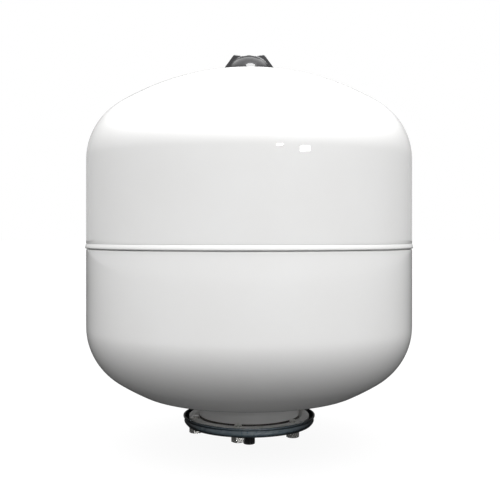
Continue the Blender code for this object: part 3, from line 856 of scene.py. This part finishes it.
def make_bolts():
    """Six bolts that share their shape, each with its washer."""
    low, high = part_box("flange_bolt_1")
    washer_low, washer_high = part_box("flange_washer_1")
    washer_radius = (washer_high.x - washer_low.x) / 2
    bearing = washer_low.z - GAP
    mesh = make_bolt_mesh(low.z, bearing, high.z)
    for number, (x, y, turn) in enumerate(bolt_places(), start=1):
        bolt = add_object(f"bolt_{number}", mesh.copy())
        bolt.location = (x, y, 0.0)
        bolt.rotation_euler.z = turn
        fit(bolt, f"flange_bolt_{number}")
        profile = rounded(
            [
                (BOLT_RADIUS + GAP, washer_high.z, 0.0002),
                (washer_radius, washer_high.z, 0.0002),
                (washer_radius, washer_low.z, 0.0005),
                (BOLT_RADIUS + GAP, washer_low.z, 0.0002),
            ]
        )
        washer = lathe(f"washer_{number}", profile, SMALL_STEPS)
        washer.location = (x, y, 0.0)
        fit(washer, f"flange_washer_{number}")


def make_nozzle():
    """A G 3/4 male nozzle with its welded collar."""
    collar_top = PLATE_LOW - GAP
    collar_low = collar_top - NOZZLE_COLLAR_HEIGHT
    thread_high = collar_low - NOZZLE_UNDERCUT
    thread_low = NOZZLE_LOW + NOZZLE_CHAMFER
    profile = [(NOZZLE_BORE, NOZZLE_HIGH), (THREAD_RADIUS, NOZZLE_HIGH), (THREAD_RADIUS, collar_top)]
    profile += rounded(
        [
            (THREAD_RADIUS, collar_top, 0.0),
            (NOZZLE_COLLAR, collar_top, 0.0004),
            (NOZZLE_COLLAR, collar_low, 0.0004),
            (THREAD_RADIUS, collar_low, 0.0),
        ],
        closed=False,
    )[1:]
    profile += [(THREAD_RADIUS, z) for z in levels(thread_high, thread_low, NOZZLE_THREAD_PITCH)]
    profile.append((THREAD_RADIUS - NOZZLE_CHAMFER, NOZZLE_LOW))
    profile.append((NOZZLE_BORE + NOZZLE_BORE_CHAMFER, NOZZLE_LOW))
    profile.append((NOZZLE_BORE, NOZZLE_LOW + NOZZLE_BORE_CHAMFER))
    thread = helix_relief(thread_low, thread_high, NOZZLE_THREAD_PITCH, NOZZLE_THREAD_DEPTH)

    def relief(angle, radius, height):
        return thread(angle, radius, height) if radius > NOZZLE_BORE + 0.001 else 0.0

    return fit(lathe("nozzle", profile, FITTING_STEPS, relief), "water_nozzle")


def disc_profile(node, upper_edge, lower_edge):
    """A disc with rounded edges that fills its node's box."""
    low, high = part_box(node)
    upper = (high.x, high.z, upper_edge)
    lower = (high.x, low.z, lower_edge)
    return rounded([(0.0, high.z, 0.0), upper, lower, (0.0, low.z, 0.0)], closed=False)


def make_strainer():
    """A perforated disc with rounded edges."""
    low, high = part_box("nozzle_strainer")
    disc = lathe("strainer", disc_profile("nozzle_strainer", 0.0004, 0.0003), FITTING_STEPS)
    turns = [FULL_TURN * i / STRAINER_HOLE_COUNT for i in range(STRAINER_HOLE_COUNT)]
    circle = STRAINER_HOLE_CIRCLE
    centres = [(circle * cos(a), circle * sin(a)) for a in turns] + [(0.0, 0.0)]
    reach = 0.001
    return fit(drill(disc, centres, STRAINER_HOLE, low.z - reach, high.z + reach), "nozzle_strainer")


def make_plug():
    """The transit plug: a stopper in the bore and a fluted grip below it."""
    groove = PLUG_BODY - PLUG_GROOVE_DEPTH
    flute_low = PLUG_LOW + PLUG_FLUTE_END
    flute_high = NOZZLE_LOW - PLUG_FLUTE_START

    def relief(angle, radius, height):
        fluted = flute_low < height < flute_high and radius > PLUG_GRIP / 2
        return PLUG_FLUTE_DEPTH * (1 - cos(angle * PLUG_FLUTES)) if fluted else 0.0

    profile = rounded(
        [
            (0.0, PLUG_HIGH, 0.0),
            (PLUG_BODY, PLUG_HIGH, 0.0007),
            (PLUG_BODY, NOZZLE_LOW + PLUG_GROOVE_HIGH, 0.0002),
            (groove, NOZZLE_LOW + PLUG_GROOVE_HIGH, 0.0),
            (groove, NOZZLE_LOW + PLUG_GROOVE_LOW, 0.0),
            (PLUG_BODY, NOZZLE_LOW + PLUG_GROOVE_LOW, 0.0002),
            (PLUG_BODY, NOZZLE_LOW + PLUG_LIP, 0.0004),
            (PLUG_GRIP, NOZZLE_LOW, 0.0004),
            (PLUG_GRIP, flute_high, 0.0),
            (PLUG_GRIP, flute_low, 0.0),
            (PLUG_GRIP, PLUG_LOW, 0.0014),
            (0.0, PLUG_LOW, 0.0),
        ],
        closed=False,
        count=5,
    )
    fine = refined(profile, lambda start, end: max(1, round(abs(start[1] - end[1]) / PLUG_PIECE)))
    fine.append(profile[-1])
    return fit(lathe("plug", fine, FITTING_STEPS, relief), "transit_plug")


def make_round_seal(name, node, steps=FITTING_STEPS):
    """A soft ring with rounded edges that fills its node's box."""
    low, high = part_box(node)
    bore = RING_BORES[node]
    edge = 0.3 * min(high.z - low.z, high.x - bore)
    corners = [(bore, high.z), (high.x, high.z), (high.x, low.z), (bore, low.z)]
    profile = rounded([(r, z, edge) for r, z in corners])
    return fit(lathe(name, profile, steps), node)


def make_bladder():
    """The rubber bag: soft lengthwise folds that fade out towards its clamped rim and its crown."""
    low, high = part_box("bladder")
    neck = BLADDER_NECK
    tall = high.z - low.z
    waist = BLADDER_WAIST_Z
    neck_top = BLADDER_NECK_Z
    rim_top = low.z + BLADDER_RIM_HEIGHT
    slope_steps = 40
    neck_steps = 4
    outer = [(0.0, high.z)]
    outer += arc_ellipse(BLADDER_RADIUS, high.z - waist, waist, count=28)[1:]
    for i in range(1, slope_steps + 1):
        share = i / slope_steps
        height = waist + (neck_top - waist) * share
        outer.append((neck + (BLADDER_RADIUS - neck) * (1 + cos(pi * share)) / 2, height))
    outer += [(neck, neck_top + (rim_top - neck_top) * i / neck_steps) for i in range(1, neck_steps + 1)]
    rim = [(neck, rim_top, 0.0), (neck, low.z, 0.0015), (BLADDER_RIM, low.z, 0.0)]
    outer += rounded(rim, closed=False)[1:]

    def relief(angle, radius, height):
        share = min(max((height - neck_top) / tall * BLADDER_FOLD_FADE, 0.0), 1.0)
        fade = sin(pi * share) ** 2
        folds = 0.5 - 0.5 * cos(BLADDER_FOLDS * angle + 0.9 * sin(2 * angle))
        swell = sin(3 * angle + 40 * height)
        return fade * (BLADDER_FOLD_DEPTH * folds + BLADDER_SWELL * swell)

    bag = lathe("bag", sheet(outer, BLADDER_WALL), FITTING_STEPS * 2, relief, sharp_degrees=50)
    dress(bag, "bladder")
    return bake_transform(bag)


def arc_ellipse(radius, rise, base, count):
    """A quarter of an ellipse, from its top on the axis down to its widest level."""
    found = []
    for i in range(count + 1):
        angle = pi / 2 * (1 - i / count)
        found.append((radius * cos(angle), base + rise * sin(angle)))
    return found


# ---- gas valve ----


def raised(points):
    """Turns heights above the crown's top into heights above the origin."""
    return [(radius, CROWN_TOP_Z + height, *rest) for radius, height, *rest in points]


def above_crown(corners, closed=True):
    """A rounded profile from corners whose heights are above the crown's top."""
    return rounded(raised(corners), closed)


def make_boss():
    """The flanged boss through the crown, with a male thread for the guard cap."""
    profile = above_crown(
        [
            (BOSS_RECESS, BOSS_TOP, 0.0002),
            (BOSS_COLLAR, BOSS_TOP, 0.0005),
            (BOSS_COLLAR, BOSS_STEP, 0.0),
            (BOSS_FLANGE, BOSS_STEP, 0.0004),
            (BOSS_FLANGE, GAP, 0.0002),
            (BOSS_SHANK, GAP, 0.0),
            (BOSS_SHANK, BOSS_END, 0.0004),
            (BOSS_BORE, BOSS_END, 0.0002),
            (BOSS_BORE, BOSS_FLOOR, 0.0),
            (BOSS_RECESS, BOSS_FLOOR, 0.0),
        ]
    )
    thread = helix_relief(
        CROWN_TOP_Z + BOSS_THREAD_LOW,
        CROWN_TOP_Z + BOSS_THREAD_HIGH,
        BOSS_THREAD_PITCH,
        BOSS_THREAD_DEPTH,
    )

    def on_collar(radius):
        return abs(radius - BOSS_COLLAR) < BOSS_THREAD_DEPTH / 2

    def pieces(start, end):
        return BOSS_THREAD_PIECES if on_collar(start[0]) and abs(start[1] - end[1]) > BOSS_THREAD_PITCH else 1

    def relief(angle, radius, height):
        return thread(angle, radius, height) if on_collar(radius) else 0.0

    fine = refined(profile + profile[:1], pieces)
    return fit(lathe("boss", fine, FITTING_STEPS, relief), "valve_boss")


def make_stem():
    """The flanged stem in the boss, threaded for the dust cap."""
    profile = above_crown(
        [
            (STEM_BORE, STEM_TOP, 0.0002),
            (STEM_RADIUS, STEM_TOP, 0.0003),
            (STEM_RADIUS, STEM_FLANGE_HIGH, 0.0),
            (STEM_FLANGE, STEM_FLANGE_HIGH, 0.0002),
            (STEM_FLANGE, STEM_FLANGE_LOW, 0.0001),
            (STEM_RADIUS, STEM_FLANGE_LOW, 0.0),
            (STEM_RADIUS, STEM_END, 0.0003),
            (STEM_BORE, STEM_END, 0.0002),
        ]
    )
    half_wall = (STEM_BORE + STEM_RADIUS) / 2
    thread = helix_relief(
        CROWN_TOP_Z + STEM_THREAD_LOW,
        CROWN_TOP_Z + STEM_THREAD_HIGH,
        STEM_THREAD_PITCH,
        STEM_THREAD_DEPTH,
    )

    def pieces(start, end):
        return max(1, round(abs(start[1] - end[1]) / STEM_PIECE)) if start[0] > half_wall else 1

    def relief(angle, radius, height):
        return thread(angle, radius, height) if radius > STEM_RADIUS - 0.00015 else 0.0

    fine = refined(profile + profile[:1], pieces)
    return fit(lathe("stem", fine, SMALL_STEPS, relief), "valve_stem")


def make_core_body():
    """The insert screwed into the stem, with a narrower waist."""
    profile = above_crown(
        [
            (CORE_RECESS, CORE_TOP, 0.0001),
            (CORE_RADIUS, CORE_TOP, 0.0002),
            (CORE_RADIUS, CORE_WAIST_HIGH, 0.0),
            (CORE_WAIST, CORE_WAIST_HIGH - 0.0004, 0.0),
            (CORE_WAIST, CORE_WAIST_LOW + 0.0006, 0.0),
            (CORE_RADIUS, CORE_WAIST_LOW, 0.0),
            (CORE_RADIUS, CORE_END, 0.0002),
            (PIN_RADIUS + GAP, CORE_END, 0.0),
            (PIN_RADIUS + GAP, CORE_STEP, 0.0),
            (CORE_RECESS, CORE_STEP, 0.0),
        ]
    )
    return fit(lathe("core_body", profile, SMALL_STEPS), "valve_core_body")


def make_core_pin():
    """The pin that opens the valve, with its head and its foot."""
    profile = above_crown(
        [
            (0.0, PIN_TOP, 0.0),
            (PIN_HEAD, PIN_TOP, 0.0002),
            (PIN_HEAD, PIN_NECK, 0.0001),
            (PIN_RADIUS, PIN_NECK, 0.0),
            (PIN_RADIUS, PIN_ANKLE, 0.0),
            (PIN_FOOT, PIN_ANKLE, 0.0001),
            (PIN_FOOT, PIN_END, 0.0001),
            (0.0, PIN_END, 0.0),
        ],
        closed=False,
    )
    return fit(lathe("core_pin", profile, SMALL_STEPS), "valve_core_pin")


def make_core_spring():
    """The coil is made again as a fine round wire."""
    low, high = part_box("valve_core_spring")
    wire = SPRING_WIRE
    radius = (high.x - low.x) / 2 - wire
    curve = bpy.data.curves.new("core_spring", "CURVE")
    curve.dimensions = "3D"
    curve.bevel_depth = wire
    curve.bevel_resolution = 3
    curve.use_fill_caps = True
    spline = curve.splines.new("POLY")
    count = SPRING_TURNS * SPRING_STEPS + 1
    spline.points.add(count - 1)
    for i, point in enumerate(spline.points):
        angle = FULL_TURN * i / SPRING_STEPS
        height = low.z + wire + (high.z - low.z - 2 * wire) * i / (count - 1)
        point.co = (radius * cos(angle), radius * sin(angle), height, 1.0)
    coil = add_object("core_spring_wire", curve)
    work = bmesh.new()
    work.from_mesh(shown_mesh(coil))
    bpy.data.objects.remove(coil)
    spring = add_object("core_spring", finish_mesh("core_spring", work, sharp_degrees=60))
    dress(spring, "valve_core_spring")
    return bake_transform(spring)


def make_dust_cap():
    """The small cap on the valve stem, with grip ribs."""
    profile = above_crown(
        [
            (0.0, DUST_CAP_TOP, 0.0),
            (DUST_CAP_RADIUS, DUST_CAP_TOP, 0.0007),
            (DUST_CAP_RADIUS, DUST_CAP_TOP - 0.0011, 0.0),
            (DUST_CAP_RADIUS, DUST_CAP_LOW + 0.0004, 0.0),
            (DUST_CAP_RADIUS, DUST_CAP_LOW, 0.0001),
            (DUST_CAP_BORE, DUST_CAP_LOW, 0.0001),
            (DUST_CAP_BORE, DUST_CAP_CEILING, 0.0),
            (0.0, DUST_CAP_CEILING, 0.0),
        ],
        closed=False,
    )

    def relief(angle, radius, height):
        ribbed = radius > DUST_CAP_RADIUS - 0.0001 and height < CROWN_TOP_Z + DUST_CAP_CEILING
        return DUST_CAP_RIB_DEPTH * (0.5 - 0.5 * cos(DUST_CAP_RIBS * angle)) if ribbed else 0.0

    return fit(lathe("valve_cap", profile, FITTING_STEPS * 2, relief), "dust_cap")


def make_dust_cap_seal():
    """The disc that closes the stem's mouth."""
    profile = disc_profile("dust_cap_seal", 0.0002, 0.0002)
    return fit(lathe("valve_cap_seal", profile, SMALL_STEPS), "dust_cap_seal")


# ---- guard cap ----


def make_cap_dome():
    """The dome as a full solid; its inside is cut out later."""
    top = CAP_CENTRE + CAP_HEIGHT + CAP_BUTTON_RISE
    profile = [(0.0, top), (CAP_BUTTON - CAP_BUTTON_SLOPE, top)]
    start = acos(CAP_BUTTON / CAP_RADIUS)
    base = asin((CAP_LOW - CAP_CENTRE) / CAP_HEIGHT)
    count = 32
    for i in range(count + 1):
        angle = start + (base - start) * i / count
        profile.append((CAP_RADIUS * cos(angle), CAP_CENTRE + CAP_HEIGHT * sin(angle)))
    profile.append((0.0, CAP_LOW))
    return lathe("wing_cap", raised(profile), FITTING_STEPS)


def make_cap_hollow():
    """The tool for the inside: a hollow round a threaded socket."""
    inner = CAP_RADIUS - CAP_WALL
    inner_height = CAP_CEILING - CAP_CENTRE
    base = asin((CAP_LOW - CAP_CENTRE) / CAP_HEIGHT)
    meets = acos(SOCKET_RADIUS / inner)
    count = 16
    dome = [(SOCKET_RADIUS, CAP_CENTRE + inner_height * sin(meets))]
    for i in range(1, count + 1):
        angle = meets + (base - meets) * i / count
        dome.append((inner * cos(angle), CAP_CENTRE + inner_height * sin(angle)))
    profile = [(SOCKET_BORE, SOCKET_TOP), (0.0, SOCKET_TOP), (0.0, CAP_CUT_END), (inner, CAP_CUT_END)]
    profile += dome[::-1]
    profile += [(SOCKET_RADIUS, SOCKET_LOW), (SOCKET_BORE, SOCKET_LOW)]
    return lathe("cap_hollow", raised(profile), FITTING_STEPS)


def make_wing(side):
    """One wing: a flat plate from the dome's wall out to its sloping edge."""
    # Reach and height of each corner: up along the root, over the top, down the edge, back along the foot
    outline = [
        (WING_ROOT, 0.0008),
        (WING_ROOT, 0.0150),
        (0.0056, WING_TOP - 0.0017),
        (0.0110, WING_TOP - 0.0007),
        (WING_TOP_REACH - 0.0008, WING_TOP),
        (WING_TOP_REACH + 0.0004, WING_TOP - 0.0008),
        (WING_REACH, 0.0004),
        (WING_REACH - 0.0012, -0.0007),
        (0.019, -0.0002),
    ]
    work = bmesh.new()
    half = WING_THICKNESS / 2
    front = [work.verts.new((side * x, -half, CROWN_TOP_Z + z)) for x, z in outline]
    back = [work.verts.new((side * x, half, CROWN_TOP_Z + z)) for x, z in outline]
    work.faces.new(front)
    work.faces.new(back[::-1])
    for i in range(len(outline)):
        j = (i + 1) % len(outline)
        work.faces.new((front[i], back[i], back[j], front[j]))
    return add_object("wing", finish_mesh("wing", work, SHARP_DEGREES))


def make_guard_cap():
    """Dome and wings melted into one moulded body with soft inner corners, then hollowed."""
    cap = make_cap_dome()
    boolean(cap, make_wing(1.0), "UNION")
    boolean(cap, make_wing(-1.0), "UNION")
    remesh = cap.modifiers.new("Melt", "REMESH")
    remesh.mode = "VOXEL"
    remesh.voxel_size = MELT_SIZE
    smooth = cap.modifiers.new("Soften", "SMOOTH")
    smooth.factor = 0.5
    smooth.iterations = 4
    apply_modifiers(cap)
    boolean(cap, make_cap_hollow(), "DIFFERENCE")
    cap.data.shade_smooth()
    cap.data.set_sharp_from_angle(angle=radians(40))
    return fit(cap, "guard_cap")


# ---- studio and camera ----

# Strength of the world: from horizon to ceiling as a direction turns up, less as it turns to the back
HORIZON = 0.42
MIRRORED_HORIZON = 0.50
CEILING = 3.6
CEILING_START = 0.38
CEILING_END = 0.72
BACK_SHARE = 0.55
BACK_START = -0.2
BACK_END = 0.5

# The floor glows for the camera and hardly shows in mirror-like reflections
FLOOR_SIZE = 60.0
FLOOR_PIECES = 8
FLOOR_GLOW = 1.0
FLOOR_MIRRORED = 0.06
FLOOR_SHADED_SHARE = 0.07

CAMERA_DISTANCE = 0.9126
CAMERA_RISE = 0.015


def add_area(name, place, target, size, power):
    """A soft rectangular light that the camera doesn't see."""
    lamp = bpy.data.lights.new(name, "AREA")
    lamp.shape = "RECTANGLE"
    lamp.size, lamp.size_y = size
    lamp.energy = power
    obj = add_object(name, lamp)
    obj.location = place
    obj.rotation_euler = (Vector(target) - Vector(place)).to_track_quat("-Z", "Y").to_euler()
    obj.visible_camera = False
    return obj


def make_world():
    """A bright ceiling over a dimmer horizon; white to the camera, darker behind the vessel."""
    world = bpy.data.worlds.new("studio")
    bpy.context.scene.world = world
    world.use_nodes = True
    tree = world.node_tree
    background = tree.nodes["Background"]
    background.inputs["Color"].default_value = (1.0, 1.0, 1.0, 1.0)
    ray = add_node(tree, "LightPath", {}).outputs
    place = add_node(tree, "TexCoord", {}).outputs["Generated"]
    towards = add_node(tree, "SeparateXYZ", {"Vector": place}).outputs
    soft = {"interpolation_type": "SMOOTHSTEP"}
    sky = add_ramp(tree, towards["Z"], CEILING_START, CEILING_END, HORIZON, CEILING, **soft)
    back = add_ramp(tree, towards["Y"], BACK_START, BACK_END, 1.0, BACK_SHARE, **soft)
    lit = add_node(tree, "Math", {0: sky, 1: back}, operation="MULTIPLY").outputs["Value"]
    mirrored = add_ramp(tree, towards["Z"], CEILING_START, CEILING_END, MIRRORED_HORIZON, CEILING, **soft)
    unseen = add_node(tree, "Mix", {"Factor": ray["Is Glossy Ray"], "A": lit, "B": mirrored})
    seen = add_node(tree, "Mix", {"Factor": ray["Is Camera Ray"], "A": unseen.outputs["Result"], "B": 1.0})
    tree.links.new(seen.outputs["Result"], background.inputs["Strength"])


def square_mesh(name, size, pieces=1):
    """A flat square of that size, cut into pieces along each side."""
    work = bmesh.new()
    bmesh.ops.create_grid(work, x_segments=pieces, y_segments=pieces, size=size / 2)
    return mesh_of(name, work)


def stage_material(name):
    """A material for the studio, with its node tree."""
    material = bpy.data.materials.new(name)
    material.use_nodes = True
    return material, material.node_tree


def make_floor():
    """A pale floor that the camera sees almost white, and that gives little light back to the vessel."""
    floor = add_object("floor", square_mesh("floor", FLOOR_SIZE, FLOOR_PIECES))
    floor.location.z = CAD_BOX[0].z
    material, tree = stage_material("pale_floor")
    surface = tree.nodes["Principled BSDF"]
    surface.inputs["Base Color"].default_value = (0.9, 0.9, 0.9, 1.0)
    surface.inputs["Roughness"].default_value = 0.7
    glow = add_node(tree, "Emission", {"Strength": FLOOR_GLOW}).outputs["Emission"]
    mirrored = add_node(tree, "Emission", {"Strength": FLOOR_MIRRORED}).outputs["Emission"]
    dim = add_node(tree, "BsdfDiffuse", {"Color": (0.10, 0.10, 0.10, 1.0)}).outputs["BSDF"]
    ray = add_node(tree, "LightPath", {}).outputs

    def choose(share, otherwise, when):
        return add_node(tree, "MixShader", {0: share, 1: otherwise, 2: when}).outputs["Shader"]

    seen = choose(FLOOR_SHADED_SHARE, glow, surface.outputs["BSDF"])
    unseen = choose(ray["Is Glossy Ray"], dim, mirrored)
    shown = choose(ray["Is Camera Ray"], unseen, seen)
    tree.links.new(shown, tree.nodes["Material Output"].inputs["Surface"])
    floor.data.materials.append(material)


def add_card(name, place, target, size, strength):
    """A glowing board that only mirror-like reflections see."""
    card = add_object(name, square_mesh(name, 1.0))
    card.scale = (*size, 1.0)
    card.location = place
    card.rotation_euler = (Vector(target) - Vector(place)).to_track_quat("Z", "Y").to_euler()
    material, tree = stage_material(name)
    glow = add_node(tree, "Emission", {"Strength": strength}).outputs["Emission"]
    tree.links.new(glow, tree.nodes["Material Output"].inputs["Surface"])
    card.data.materials.append(material)
    card.visible_camera = False
    card.visible_diffuse = False
    card.visible_shadow = False


def make_low_lamp():
    """Lights the flange's small pieces from below, and nothing else."""
    front_rim = (0.0, -RIM_RADIUS, RIM_HIGH)
    lamp = add_area("low_lamp", place=(0.03, -0.24, 0.012), target=front_rim, size=(0.16, 0.03), power=0.14)
    lit = bpy.data.collections.new("lit_by_low_lamp")
    for obj in bpy.data.objects:
        if obj.name.startswith(("bolt_", "washer_", "neck_ring", "flange_pan", "transit_plug")):
            lit.objects.link(obj)
    lamp.light_linking.receiver_collection = lit


def make_lights():
    """A broad key, two lamps that mirror in the crown, one low lamp, one for the cap, a board behind."""
    seam = (0.0, 0.0, SEAM_Z)
    crown = (0.0, 0.0, CROWN_TOP_Z)
    add_area("key_softbox", place=(0.34, -1.28, 1.72), target=seam, size=(1.8, 1.2), power=10.0)
    add_area("lamp_near", place=(0.74, -2.1, SEAM_Z + 0.368), target=seam, size=(0.15, 0.018), power=1.1)
    add_area("lamp_far", place=(1.385, -1.93, SEAM_Z + 0.36), target=seam, size=(0.27, 0.026), power=1.2)
    make_low_lamp()
    above_cap = (0.025, -0.16, CROWN_TOP_Z + 0.13)
    cap_lamp = add_area("cap_lamp", place=above_cap, target=crown, size=(0.17, 0.11), power=1.6)
    cap_lamp.data.shape = "ELLIPSE"
    add_card("back_board", place=(0.0, 1.2, SEAM_Z + 0.9), target=crown, size=(0.9, 1.2), strength=0.25)


def make_camera():
    """Level with the tank's middle, a little above the seam."""
    data = bpy.data.cameras.new("camera")
    data.sensor_width = 36.0
    data.lens = 58.32
    data.shift_x = 0.0018
    data.shift_y = -0.03
    camera = add_object("camera", data)
    camera.location = (0.0, -CAMERA_DISTANCE, SEAM_Z + CAMERA_RISE)
    camera.rotation_euler = (pi / 2, 0.0, 0.0)
    bpy.context.scene.camera = camera


def main():
    make_upper_shell()
    make_lower_shell()
    make_bead()
    make_ring()
    make_flange()
    make_bolts()
    make_nozzle()
    make_strainer()
    make_plug()
    make_round_seal("plug_ring", "transit_plug_ring")
    make_bladder()
    make_boss()
    make_round_seal("stem_gasket", "valve_stem_gasket", SMALL_STEPS)
    make_stem()
    make_core_body()
    make_core_pin()
    make_round_seal("core_seal", "valve_core_seal", SMALL_STEPS)
    make_core_spring()
    make_dust_cap()
    make_dust_cap_seal()
    make_guard_cap()
    make_round_seal("wing_cap_gasket", "guard_cap_gasket")
    make_world()
    make_floor()
    make_lights()
    make_camera()
    bpy.context.scene.view_settings.view_transform = "Standard"


main()
